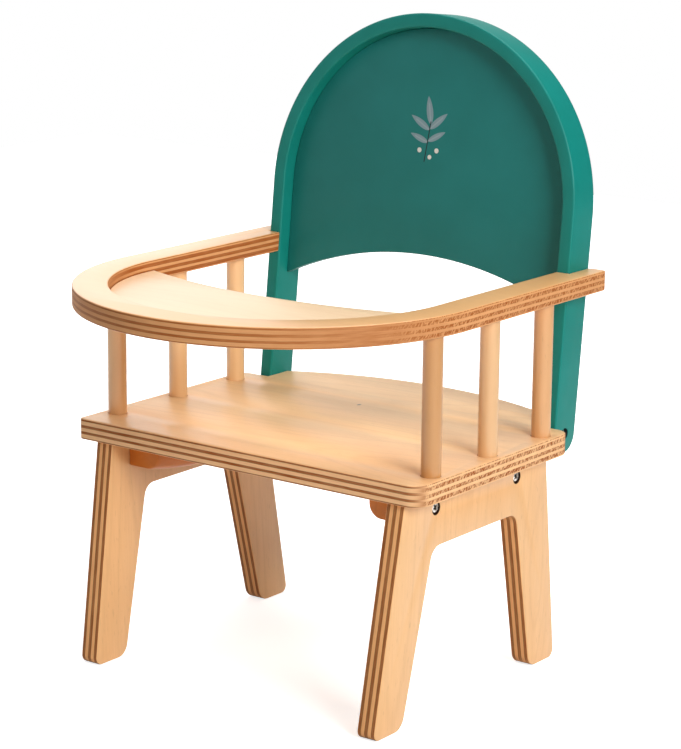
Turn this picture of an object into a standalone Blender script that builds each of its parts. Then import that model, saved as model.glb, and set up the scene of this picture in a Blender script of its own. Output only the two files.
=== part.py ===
"""A small wooden high chair for a doll: plywood seat, legs and arm ring, dowel spindles, a painted backrest.

Metres, +Z up. The chair faces -Y, it stands on Z = 0, and left means -X. Fore and aft places are
measured from the middle of the leg frames, and a root empty then centres the whole chair on the origin.
"""

import math

import bmesh
import bpy
from mathutils import Matrix, Vector

# Clearances shared by all joints
gap = 0.0003
overrun = 0.002

# Seat board: wings that carry the spindles, and a tongue between the feet of the bent strip
seat_top = 0.1088
seat_thickness = 0.0096
seat_front = 0.0562
seat_front_left_radius = 0.0018
seat_front_right_radius = 0.0075
seat_side_margin = 0.007
seat_wing_setback = 0.002
seat_wing_radius = 0.0066
seat_tongue_side = 0.0131
seat_tongue_bow = 0.0197

# Leg frames: one board a side with an arch cut out of it
leg_thickness = 0.009
leg_inset = 0.0087
leg_lean = math.radians(1.7)
leg_top_half = 0.0541
foot_outer_half = 0.0698
foot_inner_half = 0.0493
foot_outer_radius = 0.0035
foot_inner_radius = 0.0065
arch_height = 0.076
arch_half = 0.0319
arch_radius = 0.0065

# Cleats: battens with a bowed underside, between the leg frames and the seat
cleat_width = 0.0166
cleat_end_margin = 0.0107
cleat_end_height = 0.0115
cleat_middle_height = 0.0164
cleat_round = 0.006

# Spindles, which stand a little outside the middle of the ring's width
spindle_diameter = 0.0085
spindle_outset = 0.00075
spindle_front_margin = 0.018
spindle_pitch = 0.0422
socket_depth = 0.005

# Arm ring, whose ears run along the outside of the bent strip, and the tray plate inside it
ring_underside = 0.1682
ring_thickness = 0.009
ring_width = 0.0155
ring_bend_centre = 0.0241
ear_length = 0.0181
ear_outer_radius = 0.0018
ear_inner_radius = 0.0025
tray_thickness = 0.004
tray_lift = 0.0005
tray_side_length = 0.0012
tray_cut_depth = 0.0142

# Backrest: a bent strip leaning back, with a panel inside it
hoop_tilt = math.radians(6.0)
hoop_front = 0.0622
hoop_depth = 0.017
hoop_thickness = 0.0062
hoop_inner_half = 0.077
hoop_bend_height = 0.0935
hoop_foot_drop = 0.0123
hoop_end_flat = 0.0004
panel_setback = 0.007
panel_thickness = 0.004
panel_corner_height = 0.0495
panel_middle_height = 0.0668

# Screws: one size throughout, with a countersunk head and a cross recess. The strip's are sunk deeper
screw_length = 0.022
screw_diameter = 0.003
screw_head_diameter = 0.0046
screw_head_height = 0.0013
screw_rim = 0.0003
screw_tip = 0.003
screw_tip_diameter = 0.0008
recess_span = 0.0027
recess_slot = 0.0008
recess_depth = 0.0009
head_sink = 0.0004
cleat_head_sink = 0.0012
hoop_head_sink = 0.0015
leg_screw_half_pitch = 0.0309
leg_screw_drop = 0.0064
hoop_screw_drop = 0.0045
seat_screw_half_pitch = 0.0145

# Smoothness: the steps in each kind of curve, and the angle from which an edge counts as sharp
fillet_steps = 6
bend_steps = 44
bow_steps = 14
round_steps = 24
sharp_angle = math.radians(30.0)

# Sizes that follow from the ones above
hoop_outer_half = hoop_inner_half + hoop_thickness
ring_outer_radius = hoop_inner_half + ring_width
ring_notch = hoop_front + (ring_underside - seat_top) * math.tan(hoop_tilt) - gap / math.cos(hoop_tilt)
ear_rear = ring_notch + ear_length
tray_corner = ring_bend_centre - tray_side_length
tray_rear = tray_corner + tray_cut_depth
spindle_side = hoop_inner_half + ring_width / 2 + spindle_outset
spindle_first = spindle_front_margin - seat_front
seat_half = spindle_side + seat_side_margin
seat_underside = seat_top - seat_thickness
seat_wing_rear = hoop_front - seat_wing_setback
seat_tongue_side_rear = hoop_front + seat_tongue_side
seat_rear = seat_tongue_side_rear + seat_tongue_bow
frame_top = seat_underside - gap
leg_outer_face = seat_half - leg_inset
cleat_outer = leg_outer_face - leg_thickness - gap
cleat_axis = cleat_outer - cleat_width / 2
cleat_half_length = leg_top_half - cleat_end_margin
leg_screw_height = seat_underside - leg_screw_drop
hoop_screw_height = seat_top - hoop_screw_drop
hoop_apex = hoop_bend_height + hoop_outer_half
chair_front = ring_bend_centre + ring_outer_radius
hoop_rear = hoop_front + hoop_apex * math.sin(hoop_tilt) + hoop_depth * math.cos(hoop_tilt)
chair_rear = max(hoop_rear, seat_rear)
centring = (chair_front - chair_rear) / 2

for old in list(bpy.data.objects):
    bpy.data.objects.remove(old)


def make_material(name, colour, roughness, metallic=0.0):
    material = bpy.data.materials.new(name)
    material.use_nodes = True
    shader = material.node_tree.nodes["Principled BSDF"]
    shader.inputs["Base Color"].default_value = (*colour, 1.0)
    shader.inputs["Roughness"].default_value = roughness
    shader.inputs["Metallic"].default_value = metallic
    material.diffuse_color = (*colour, 1.0)
    return material


plywood = make_material("plywood", (0.80, 0.58, 0.36), 0.45)
dowel_wood = make_material("dowel_wood", (0.78, 0.55, 0.33), 0.45)
batten_wood = make_material("batten_wood", (0.62, 0.38, 0.20), 0.55)
green_paint = make_material("green_paint", (0.035, 0.19, 0.15), 0.5)
screw_steel = make_material("screw_steel", (0.55, 0.53, 0.50), 0.35, 1.0)


def make_root():
    root = bpy.data.objects.new("chair", None)
    bpy.context.collection.objects.link(root)
    root.location = (0, centring, 0)
    return root


def make_backrest_frame(root):
    """Its local X is across, Y is back through the strip and Z is up along the leaning strip."""
    frame = bpy.data.objects.new("backrest", None)
    bpy.context.collection.objects.link(frame)
    frame.parent = root
    frame.location = (0, hoop_front, seat_top)
    frame.rotation_euler = (-hoop_tilt, 0, 0)
    return frame


def add_object(name, mesh, parent, material=None):
    obj = bpy.data.objects.new(name, mesh)
    bpy.context.collection.objects.link(obj)
    obj.parent = parent
    if material and not mesh.materials:
        mesh.materials.append(material)
    return obj


def finish_mesh(name, bm):
    bmesh.ops.recalc_face_normals(bm, faces=bm.faces[:])
    mesh = bpy.data.meshes.new(name)
    bm.to_mesh(mesh)
    bm.free()
    mesh.shade_smooth()
    mesh.set_sharp_from_angle(angle=sharp_angle)
    return mesh


def arc(centre, radius, start, end, steps):
    """Points on an arc from start to end degrees, both included."""
    angles = [math.radians(start + (end - start) * i / steps) for i in range(steps + 1)]
    return [(centre[0] + radius * math.cos(a), centre[1] + radius * math.sin(a)) for a in angles]


def bow(start, middle_y, steps):
    """Points on the arc from start to its mirror image across X = 0 by way of (0, middle_y), no ends."""
    half = abs(start[0])
    rise = middle_y - start[1]
    radius = (half * half + rise * rise) / (2 * abs(rise))
    centre_y = middle_y - math.copysign(radius, rise)
    sweep = math.asin(half / radius)
    side = math.copysign(1, start[0])
    turns = [side * sweep * (1 - 2 * i / steps) for i in range(1, steps)]
    return [(radius * math.sin(t), centre_y + math.copysign(radius * math.cos(t), rise)) for t in turns]


def rounded(corners):
    """An outline from (x, y, radius) corners, each rounded by its own radius."""
    outline = []
    for i, (x, y, radius) in enumerate(corners):
        here = Vector((x, y))
        if radius == 0:
            outline.append((x, y))
            continue
        before = (Vector(corners[i - 1][:2]) - here).normalized()
        after = (Vector(corners[(i + 1) % len(corners)][:2]) - here).normalized()
        half_angle = before.angle(after) / 2
        centre = here + (before + after).normalized() * (radius / math.sin(half_angle))
        start = here + before * (radius / math.tan(half_angle)) - centre
        end = here + after * (radius / math.tan(half_angle)) - centre
        turn = start.angle_signed(end)
        for step in range(fillet_steps + 1):
            point = centre + Matrix.Rotation(-turn * step / fillet_steps, 2) @ start
            outline.append((point.x, point.y))
    return outline


def extrude(bm, points, direction):
    """One closed body: the flat outline through these points, extruded along direction."""
    face = bm.faces.new([bm.verts.new(point) for point in points])
    moved = bmesh.ops.extrude_face_region(bm, geom=[face])["geom"]
    verts = [item for item in moved if isinstance(item, bmesh.types.BMVert)]
    bmesh.ops.translate(bm, verts=verts, vec=direction)


def lathe(bm, profile, place):
    """One closed body turned about Z from (radius, height) points, moved by the matrix place."""
    rings = []
    for radius, height in profile:
        ring = []
        for i in range(round_steps):
            a = 2 * math.pi * i / round_steps
            ring.append(bm.verts.new(place @ Vector((radius * math.cos(a), radius * math.sin(a), height))))
        rings.append(ring)
    bm.faces.new(rings[0])
    bm.faces.new(rings[-1])
    for low, high in zip(rings, rings[1:]):
        for i in range(round_steps):
            bm.faces.new((low[i - 1], low[i], high[i], high[i - 1]))


def cut(target, name, bm, parent):
    """Cuts the closed bodies in bm out of target."""
    bmesh.ops.recalc_face_normals(bm, faces=bm.faces[:])
    mesh = bpy.data.meshes.new(name)
    bm.to_mesh(mesh)
    bm.free()
    cutter = add_object(name, mesh, parent)
    cutter.hide_render = True
    cutter.display_type = "WIRE"
    boolean = target.modifiers.new(name, "BOOLEAN")
    boolean.operation = "DIFFERENCE"
    boolean.solver = "EXACT"
    boolean.object = cutter


def spindle_places():
    """(name, x, y) of each spindle."""
    places = []
    for side_name, side in (("left", -1), ("right", 1)):
        for i, row in enumerate(("front", "middle", "rear")):
            y = spindle_first + i * spindle_pitch
            places.append((f"{side_name}_{row}_spindle", side * spindle_side, y))
    return places


def lean_shift(height):
    """How far in from its place at the top a leg frame's face lies at this height."""
    return (frame_top - height) * math.tan(leg_lean)


def hoop_screw_y():
    """The middle of the strip's depth at the height of its screws."""
    along = (hoop_screw_height - seat_top) / math.cos(hoop_tilt)
    return hoop_front + along * math.sin(hoop_tilt) + hoop_depth / 2 * math.cos(hoop_tilt)


def screw_places():
    """(name, matrix) of each screw. Its local Z points out of its head, whose flat top is the origin."""
    places = []
    for side_name, side in (("left", -1), ("right", 1)):
        outward = Matrix.Rotation(side * math.pi / 2, 4, "Y")
        leg_x = leg_outer_face - lean_shift(leg_screw_height) - head_sink
        for row, fore in (("front", -1), ("rear", 1)):
            at = Vector((side * leg_x, fore * leg_screw_half_pitch, leg_screw_height))
            places.append((f"{side_name}_{row}_leg_screw", Matrix.Translation(at) @ outward))
        down = Matrix.Rotation(math.pi, 4, "X")
        for row, fore in (("front", -1), ("rear", 1)):
            low = frame_top - cleat_middle_height + cleat_head_sink
            at = Vector((side * cleat_axis, fore * seat_screw_half_pitch, low))
            places.append((f"{side_name}_{row}_seat_screw", Matrix.Translation(at) @ down))
        at = Vector((side * (hoop_outer_half - hoop_head_sink), hoop_screw_y(), hoop_screw_height))
        places.append((f"{side_name}_hoop_screw", Matrix.Translation(at) @ outward))
    return places


def drill_screws(bm, words, reach):
    """Clearance holes for the screws whose names hold one of these words, open past the head by reach."""
    shank = screw_diameter / 2 + gap
    head = screw_head_diameter / 2 + gap
    neck = -screw_rim - screw_head_height - gap
    for name, place in screw_places():
        if any(word in name for word in words):
            profile = [(shank, -screw_length - gap), (shank, neck), (head, -screw_rim - gap), (head, reach)]
            lathe(bm, profile, place)


def make_seat(root):
    tongue = hoop_inner_half - gap
    half = [
        (seat_half, -seat_front, seat_front_right_radius),
        (seat_half, seat_wing_rear, seat_wing_radius),
        (tongue, seat_wing_rear, 0),
        (tongue, seat_tongue_side_rear, 0),
    ]
    left_half = [(-x, y, r) for x, y, r in reversed(half[1:])]
    outline = rounded(half + left_half + [(-seat_half, -seat_front, seat_front_left_radius)])
    rear_corner = outline.index((tongue, seat_tongue_side_rear))
    outline[rear_corner + 1:rear_corner + 1] = bow((tongue, seat_tongue_side_rear), seat_rear, bow_steps)
    bm = bmesh.new()
    extrude(bm, [(x, y, seat_underside) for x, y in outline], (0, 0, seat_thickness))
    seat = add_object("seat_board", finish_mesh("seat_board", bm), root, plywood)
    holes = bmesh.new()
    hole = spindle_diameter / 2 + gap
    socket = [(hole, seat_top - socket_depth), (hole, seat_top + overrun)]
    for _, x, y in spindle_places():
        lathe(holes, socket, Matrix.Translation((x, y, 0)))
    drill_screws(holes, ("seat_screw", "hoop_screw"), overrun)
    cut(seat, "seat_holes", holes, root)


def make_leg_frame(side_name, side, root):
    half = [
        (leg_top_half, frame_top, 0),
        (foot_outer_half, 0, foot_outer_radius),
        (foot_inner_half, 0, foot_inner_radius),
        (arch_half, arch_height, arch_radius),
    ]
    outline = rounded(half + [(-y, z, r) for y, z, r in reversed(half)])
    bm = bmesh.new()
    inner = leg_outer_face - leg_thickness
    extrude(bm, [(inner, y, z) for y, z in outline], (leg_thickness, 0, 0))
    for vert in bm.verts:
        vert.co.x = side * (vert.co.x - lean_shift(vert.co.z))
    name = f"{side_name}_leg_frame"
    frame = add_object(name, finish_mesh(name, bm), root, plywood)
    holes = bmesh.new()
    drill_screws(holes, (f"{side_name}_front_leg_screw", f"{side_name}_rear_leg_screw"), overrun)
    cut(frame, f"{side_name}_leg_holes", holes, root)


def cleat_height(y):
    """The bowed underside: the height of the cleat at this place along it."""
    drop = cleat_middle_height - cleat_end_height
    radius = (cleat_half_length * cleat_half_length + drop * drop) / (2 * drop)
    return cleat_middle_height - radius + math.sqrt(radius * radius - y * y)


def make_cleat(side_name, side, root):
    """Sections from front to rear, each a rectangle with its lower inner corner rounded."""
    bm = bmesh.new()
    sections = []
    for i in range(bow_steps + 1):
        y = cleat_half_length * (2 * i / bow_steps - 1)
        low = frame_top - cleat_height(y)
        inner = cleat_outer - cleat_width
        points = [(inner, frame_top)]
        points += arc((inner + cleat_round, low + cleat_round), cleat_round, 180, 270, fillet_steps)
        points += [(cleat_outer - lean_shift(low), low), (cleat_outer, frame_top)]
        sections.append([bm.verts.new((side * x, y, z)) for x, z in points])
    bm.faces.new(sections[0])
    bm.faces.new(sections[-1])
    for near, far in zip(sections, sections[1:]):
        for i in range(len(near)):
            bm.faces.new((near[i - 1], near[i], far[i], far[i - 1]))
    name = f"{side_name}_cleat"
    cleat = add_object(name, finish_mesh(name, bm), root, batten_wood)
    holes = bmesh.new()
    words = [f"{side_name}_{row}_{kind}_screw" for row in ("front", "rear") for kind in ("leg", "seat")]
    drill_screws(holes, words, cleat_head_sink + overrun)
    cut(cleat, f"{side_name}_cleat_holes", holes, root)


def make_spindles(root):
    bm = bmesh.new()
    length = ring_underside - seat_top + 2 * (socket_depth - gap)
    radius = spindle_diameter / 2
    lathe(bm, [(radius, 0), (radius, length)], Matrix.Identity(4))
    mesh = finish_mesh("spindle", bm)
    for name, x, y in spindle_places():
        spindle = add_object(name, mesh, root, dowel_wood)
        spindle.location = (x, y, seat_top - socket_depth + gap)


def make_ring(root):
    """A U lying flat, open at the rear. The walls that meet the front of the strip lean with it."""
    outer = ring_outer_radius
    inner = hoop_inner_half
    bend = (0, -ring_bend_centre)
    ear_inside = hoop_outer_half + gap
    left_ear = [
        (-ear_inside, ear_rear, ear_inner_radius),
        (-outer, ear_rear, ear_outer_radius),
        (-outer, -ring_bend_centre, 0),
    ]
    ear_points = rounded([*left_ear, (-ear_inside, -ring_bend_centre, 0)])[:-2]
    outline = ear_points + arc(bend, outer, 180, 360, bend_steps)
    outline += [(-x, y) for x, y in reversed(ear_points)]
    outline += [(ear_inside, ring_notch), (inner, ring_notch)]
    outline += arc(bend, inner, 360, 180, bend_steps)
    outline += [(-inner, ring_notch), (-ear_inside, ring_notch)]
    bm = bmesh.new()
    extrude(bm, [(x, y, ring_underside) for x, y in outline], (0, 0, ring_thickness))
    for vert in bm.verts:
        if abs(vert.co.y - ring_notch) < gap and vert.co.z > ring_underside + gap:
            vert.co.y += ring_thickness * math.tan(hoop_tilt)
    ring = add_object("arm_ring", finish_mesh("arm_ring", bm), root, plywood)
    holes = bmesh.new()
    hole = spindle_diameter / 2 + gap
    socket = [(hole, ring_underside - overrun), (hole, ring_underside + socket_depth)]
    for _, x, y in spindle_places():
        lathe(holes, socket, Matrix.Translation((x, y, 0)))
    cut(ring, "ring_holes", holes, root)


def make_tray(root):
    radius = hoop_inner_half - gap
    bend = (0, -ring_bend_centre)
    corner = (radius, -tray_corner)
    outline = arc(bend, radius, 180, 360, bend_steps)
    outline += [corner] + bow(corner, -tray_rear, bow_steps) + [(-radius, -tray_corner)]
    bm = bmesh.new()
    bottom = ring_underside + tray_lift
    extrude(bm, [(x, y, bottom) for x, y in outline], (0, 0, tray_thickness))
    add_object("tray_plate", finish_mesh("tray_plate", bm), root, plywood)


def hoop_stations():
    """(height, outward x, outward z, half depth) along the strip, from one round foot to the other."""
    half = hoop_depth / 2
    first = math.asin(hoop_end_flat / half)
    turns = [first + (math.pi / 2 - first) * i / fillet_steps for i in range(fillet_steps + 1)]
    foot = [(half * (1 - math.cos(a)) - hoop_foot_drop, half * math.sin(a)) for a in turns]
    bend = [math.pi * (1 - i / bend_steps) for i in range(bend_steps + 1)]
    stations = [(height, -1, 0, depth) for height, depth in foot]
    stations += [(hoop_bend_height, math.cos(a), math.sin(a), half) for a in bend]
    return stations + [(height, 1, 0, depth) for height, depth in reversed(foot)]


def make_hoop(root, backrest):
    bm = bmesh.new()
    section = [(hoop_outer_half, -1), (hoop_outer_half, 1), (hoop_inner_half, 1), (hoop_inner_half, -1)]
    loops = []
    for height, out_x, out_z, half in hoop_stations():
        corners = []
        for radius, side in section:
            y = hoop_depth / 2 + side * half
            corners.append(bm.verts.new((radius * out_x, y, height + radius * out_z)))
        loops.append(corners)
    bm.faces.new(loops[0])
    bm.faces.new(loops[-1])
    for low, high in zip(loops, loops[1:]):
        for i in range(4):
            bm.faces.new((low[i - 1], low[i], high[i], high[i - 1]))
    hoop = add_object("backrest_hoop", finish_mesh("backrest_hoop", bm), backrest, green_paint)
    holes = bmesh.new()
    drill_screws(holes, ("hoop_screw",), overrun)
    cut(hoop, "hoop_holes", holes, root)


def make_panel(backrest):
    radius = hoop_inner_half - gap
    corner = (-radius, panel_corner_height)
    outline = arc((0, hoop_bend_height), radius, 0, 180, bend_steps)
    outline += [corner] + bow(corner, panel_middle_height, bow_steps) + [(radius, panel_corner_height)]
    bm = bmesh.new()
    extrude(bm, [(x, panel_setback, z) for x, z in outline], (0, panel_thickness, 0))
    add_object("backrest_panel", finish_mesh("backrest_panel", bm), backrest, green_paint)


def make_screws(root):
    """One mesh, with its cross recess cut once, shared by all screws."""
    bm = bmesh.new()
    shank = screw_diameter / 2
    head = screw_head_diameter / 2
    profile = [
        (screw_tip_diameter / 2, -screw_length),
        (shank, screw_tip - screw_length),
        (shank, -screw_rim - screw_head_height),
        (head, -screw_rim),
        (head, 0),
    ]
    lathe(bm, profile, Matrix.Identity(4))
    blank = add_object("screw_blank", finish_mesh("screw_blank", bm), root, screw_steel)
    cross = bmesh.new()
    far, near = recess_span / 2, recess_slot / 2
    arm = [(far, -near), (far, near), (near, near)]
    quarter_turns = [Matrix.Rotation(math.pi / 2 * i, 2) for i in range(4)]
    points = [turn @ Vector(point) for turn in quarter_turns for point in arm]
    extrude(cross, [(p.x, p.y, -recess_depth) for p in points], (0, 0, recess_depth + overrun))
    cut(blank, "recess_cutter", cross, root)
    bpy.context.view_layer.update()
    mesh = bpy.data.meshes.new_from_object(blank.evaluated_get(bpy.context.evaluated_depsgraph_get()))
    for helper in (blank, bpy.data.objects["recess_cutter"]):
        bpy.data.objects.remove(helper)
    for name, place in screw_places():
        screw = add_object(name, mesh, root, screw_steel)
        screw.matrix_local = place


def build():
    root = make_root()
    backrest = make_backrest_frame(root)
    make_seat(root)
    for side_name, side in (("left", -1), ("right", 1)):
        make_leg_frame(side_name, side, root)
        make_cleat(side_name, side, root)
    make_spindles(root)
    make_ring(root)
    make_tray(root)
    make_hoop(root, backrest)
    make_panel(backrest)
    make_screws(root)


build()
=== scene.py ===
import math

import bmesh
import bpy
import numpy as np
from mathutils import Matrix, Vector
from mathutils.geometry import tessellate_polygon


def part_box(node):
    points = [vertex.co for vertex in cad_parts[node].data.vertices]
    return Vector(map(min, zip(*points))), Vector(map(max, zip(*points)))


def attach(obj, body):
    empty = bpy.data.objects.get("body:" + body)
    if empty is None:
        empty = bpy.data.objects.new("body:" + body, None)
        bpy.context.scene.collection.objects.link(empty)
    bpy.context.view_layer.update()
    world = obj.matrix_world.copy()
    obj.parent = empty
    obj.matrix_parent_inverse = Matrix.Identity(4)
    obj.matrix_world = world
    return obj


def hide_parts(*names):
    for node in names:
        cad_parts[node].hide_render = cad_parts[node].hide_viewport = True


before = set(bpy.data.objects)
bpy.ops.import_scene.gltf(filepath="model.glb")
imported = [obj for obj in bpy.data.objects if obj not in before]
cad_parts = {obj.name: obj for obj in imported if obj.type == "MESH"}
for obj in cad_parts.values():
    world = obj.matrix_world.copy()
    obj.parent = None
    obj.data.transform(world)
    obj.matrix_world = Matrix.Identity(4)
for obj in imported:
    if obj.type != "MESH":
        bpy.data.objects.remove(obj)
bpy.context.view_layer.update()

# Places shared by the pieces, in metres. Y is given from the middle of the leg frames, at legMiddleY
legMiddleY = sum(corner[1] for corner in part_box("left_leg_frame")) / 2
seatTop = 0.1088
hoopFront = 0.0622
hoopTilt = math.radians(6.0)
hoopInnerHalf = 0.077
hoopThickness = 0.0062
fitGap = 0.0003

bendSteps = 96                # round each half circle of the ring, the tray and the panel
creaseAngle = 38              # degrees, and edges that turn further are drawn sharp

# The round wells in the boards' faces, and the sticks' sockets among them
wellLook = {
    "steps": 32,
    "rim": 0.00015,
    "rimDip": 0.3,            # where the eased rim's middle row lies, as a share of it
    "socketClearance": 0.00012,
    "socketDepth": 0.002,
}


# Helpers that shape outlines

def filletOutline(corners, steps=8):
    # each (u, v, radius) corner becomes an arc tangent to both of its sides, and radius 0 keeps the corner
    points = []
    for i, (u, v, radius) in enumerate(corners):
        here = np.array((u, v), float)
        if radius == 0:
            points.append(here[None])
            continue
        before = np.array(corners[i - 1][:2]) - here
        after = np.array(corners[(i + 1) % len(corners)][:2]) - here
        before /= np.linalg.norm(before)
        after /= np.linalg.norm(after)
        half = math.acos(np.clip(before @ after, -1, 1)) / 2
        centre = here + (before + after) / np.linalg.norm(before + after) * radius / math.sin(half)
        start = here + before * radius / math.tan(half) - centre
        end = here + after * radius / math.tan(half) - centre
        turn = math.atan2(start[0] * end[1] - start[1] * end[0], start @ end)
        a = turn * np.linspace(0, 1, steps + 1)
        points.append(centre + np.stack([start[0] * np.cos(a) - start[1] * np.sin(a),
                                         start[0] * np.sin(a) + start[1] * np.cos(a)], 1))
    return np.concatenate(points)


def mirrored(corners):
    # the same corners across u = 0, in the order that carries the outline on
    return [(-u, v, radius) for u, v, radius in reversed(corners)]


def arcPoints(centre, radius, start, end, steps):
    # points on a circle from start to end degrees, both included
    a = np.radians(np.linspace(start, end, steps + 1))
    return np.stack([centre[0] + radius * np.cos(a), centre[1] + radius * np.sin(a)], 1)


def bowPoints(start, middle, steps):
    # the circle arc from start to its mirror image across u = 0 that passes (0, middle), without its two ends
    half, rise = abs(start[0]), middle - start[1]
    radius = (half ** 2 + rise ** 2) / (2 * abs(rise))
    sweep = math.asin(half / radius)
    t = math.copysign(sweep, start[0]) * (1 - 2 * np.arange(1, steps) / steps)
    return np.stack([radius * np.sin(t), middle - math.copysign(radius, rise) * (1 - np.cos(t))], 1)


def bowedHalfDisc(centre, start, cornerLevel, middle, bowSteps):
    # a half circle that fits inside the strip, straight sides on to two corners, and a bow between them
    arc = arcPoints((0, centre), hoopInnerHalf - fitGap, start, start + 180, bendSteps)
    corner = (arc[-1, 0], cornerLevel)
    return np.concatenate([arc, [corner], bowPoints(corner, middle, bowSteps), [(arc[0, 0], cornerLevel)]])


def mitredNormals(outline, flattest=0.35):
    # at each point, the sum of the two side normals, stretched so that an offset keeps both sides parallel;
    # flattest limits the stretch at a sharp point
    ahead = np.roll(outline, -1, 0) - outline
    ahead /= np.linalg.norm(ahead, axis=1, keepdims=True)
    behind = np.roll(ahead, 1, 0)
    sideAhead = np.stack([ahead[:, 1], -ahead[:, 0]], 1)
    sideBehind = np.stack([behind[:, 1], -behind[:, 0]], 1)
    middle = sideAhead + sideBehind
    middle /= np.linalg.norm(middle, axis=1, keepdims=True)
    return middle / np.maximum((middle * sideAhead).sum(1, keepdims=True), flattest), middle


def circleTurns(steps):
    return np.linspace(0, 2 * np.pi, steps + 1)[:-1]


def turnedGrid(profile, turn):
    # one row of points round Z for each (radius, height) of the profile
    grid = np.empty((len(profile), len(turn), 3))
    grid[..., 0] = profile[:, :1] * np.cos(turn)
    grid[..., 1] = profile[:, :1] * np.sin(turn)
    grid[..., 2] = profile[:, 1:]
    return grid


def gridFaces(rows, columns, first=0):
    # quads between neighbouring rows of a grid of points, which closes on itself across its columns
    r, c = np.meshgrid(np.arange(rows - 1), np.arange(columns), indexing="ij")
    n = (c + 1) % columns
    return (np.stack([r * columns + c, r * columns + n, (r + 1) * columns + n, (r + 1) * columns + c], -1)
            .reshape(-1, 4) + first).tolist()


def closedTube(rows, columns):
    # such a grid's faces with one flat face over each end, and the numbers of those two
    faces = gridFaces(rows, columns)
    ends = [list(range(columns)), list(range((rows - 1) * columns, rows * columns))]
    return faces + ends, [len(faces), len(faces) + 1]


# Helpers that make pieces

def countOpenEdges(bm):
    return sum(1 for edge in bm.edges if len(edge.link_faces) != 2)


def finishPiece(name, points, faces, material, node, flatFaces=(), attributes=None,
                sharpAngle=creaseAngle):
    # the open edges are counted, the faces are turned outwards, and the piece is hung under the root body
    # while its CAD node is hidden
    mesh = bpy.data.meshes.new(name)
    mesh.from_pydata(np.asarray(points, float).tolist(), [], faces)
    for key, values in (attributes or {}).items():
        layer = mesh.attributes.new(key, "FLOAT_VECTOR", "POINT")
        layer.data.foreach_set("vector", np.asarray(values, np.float32).ravel())
    smooth = np.ones(len(mesh.polygons), bool)
    smooth[list(flatFaces)] = False
    mesh.polygons.foreach_set("use_smooth", smooth)
    bm = bmesh.new()
    bm.from_mesh(mesh)
    openEdges = countOpenEdges(bm)
    bmesh.ops.recalc_face_normals(bm, faces=bm.faces[:])
    if bm.calc_volume(signed=True) < 0:
        bmesh.ops.reverse_faces(bm, faces=bm.faces[:])
    bm.to_mesh(mesh)
    bm.free()
    mesh.set_sharp_from_angle(angle=math.radians(sharpAngle))
    mesh.materials.append(material)
    piece = bpy.data.objects.new(name, mesh)
    bpy.context.scene.collection.objects.link(piece)
    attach(piece, "root")
    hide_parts(node)
    print(f"{name}: {len(mesh.polygons)} faces, {openEdges} open edges")
    return piece


def boardShell(outline, low, high, ease, wells=(), easeSteps=4):
    # a flat board in (u, v, w): its side is the outline carried up a profile whose two ends are quarter
    # circles of radius ease, and its faces are filled flat round the wells (u, v, radius, depth, fromTop)
    offset, normal = mitredNormals(outline)
    a = np.linspace(0, np.pi / 2, easeSteps + 1)
    inset = np.concatenate([ease * (1 - np.sin(a)), ease * (1 - np.sin(a[::-1]))])
    level = np.concatenate([low + ease * (1 - np.cos(a)), high - ease * (1 - np.cos(a[::-1]))])
    side = np.empty((len(inset), len(outline), 3))
    side[..., :2] = outline[None] - offset[None] * inset[:, None, None]
    side[..., 2] = level[:, None]
    points = [side.reshape(-1, 3)]
    edgeNormals = [np.broadcast_to(normal, (len(inset), len(outline), 2)).reshape(-1, 2)]
    shade = [np.zeros(len(inset) * len(outline))]
    faces = gridFaces(len(inset), len(outline))
    flatFaces = []
    count = side.shape[0] * side.shape[1]
    steps, rim = wellLook["steps"], wellLook["rim"]
    turn, ring = circleTurns(steps), np.arange(steps)
    for capRow, capLevel, top in ((0, low, False), (len(inset) - 1, high, True)):
        loops = [side[capRow]]
        index = [np.arange(len(outline)) + capRow * len(outline)]
        inward = -1 if top else 1
        for u, v, radius, depth, fromTop in wells:
            if fromTop != top:
                continue
            # the rim's outer and middle rows, then the wall's head and foot, which count as down in the well
            dip = rim * wellLook["rimDip"]
            profile = [(radius + rim, capLevel), (radius + dip, capLevel + inward * dip),
                       (radius, capLevel + inward * rim), (radius, capLevel + inward * depth)]
            well = np.array([np.stack([u + r * np.cos(turn), v + r * np.sin(turn), np.full(steps, w)], 1)
                             for r, w in profile])
            loops.append(well[0])
            index.append(ring + count)
            faces += gridFaces(len(profile), steps, count)
            flatFaces.append(len(faces))
            faces.append((ring + count + (len(profile) - 1) * steps).tolist())
            points.append(well.reshape(-1, 3))
            edgeNormals.append(np.zeros((len(profile) * steps, 2)))
            shade.append(np.repeat((0.0, 0.0, 1.0, 1.0), steps))
            count += len(profile) * steps
        flatIndex = np.concatenate(index)
        triangles = tessellate_polygon([[Vector(p) for p in loop] for loop in loops])
        flatFaces += range(len(faces), len(faces) + len(triangles))
        faces += flatIndex[np.array(triangles)].tolist()
    return np.concatenate(points), faces, flatFaces, np.concatenate(edgeNormals), np.concatenate(shade)


def boardAttributes(shell, low, high, grainAlongU, grainStart, innerWall=0.0):
    # grainPlace runs along the face grain, across it and through the sheet, from the board's own start.
    # plyPlace holds the depth as a share of the sheet, and how much the edge there cuts the face veneer's
    # grain and the cross plies' grain. cutKind is 1 on walls cut smoothly, and then 1 down in the wells,
    # where shade is painted dark
    points, _, _, normals, shade = shell
    along, across = (0, 1) if grainAlongU else (1, 0)
    place = np.stack([points[:, along], points[:, across], points[:, 2]], 1) + np.array(grainStart)
    depth = (points[:, 2] - low) / (high - low)
    ply = np.stack([depth, np.abs(normals[:, along]), np.abs(normals[:, across])], 1)
    kind = np.stack([np.zeros(len(points)) + innerWall, shade, np.zeros(len(points))], 1)
    return {"grainPlace": place, "plyPlace": ply, "cutKind": kind}


def finishBoard(name, shell, material, node, attributes, points=None):
    return finishPiece(name, shell[0] if points is None else points, shell[1], material, node, shell[2],
                       attributes)


# Helpers that make materials

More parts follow.
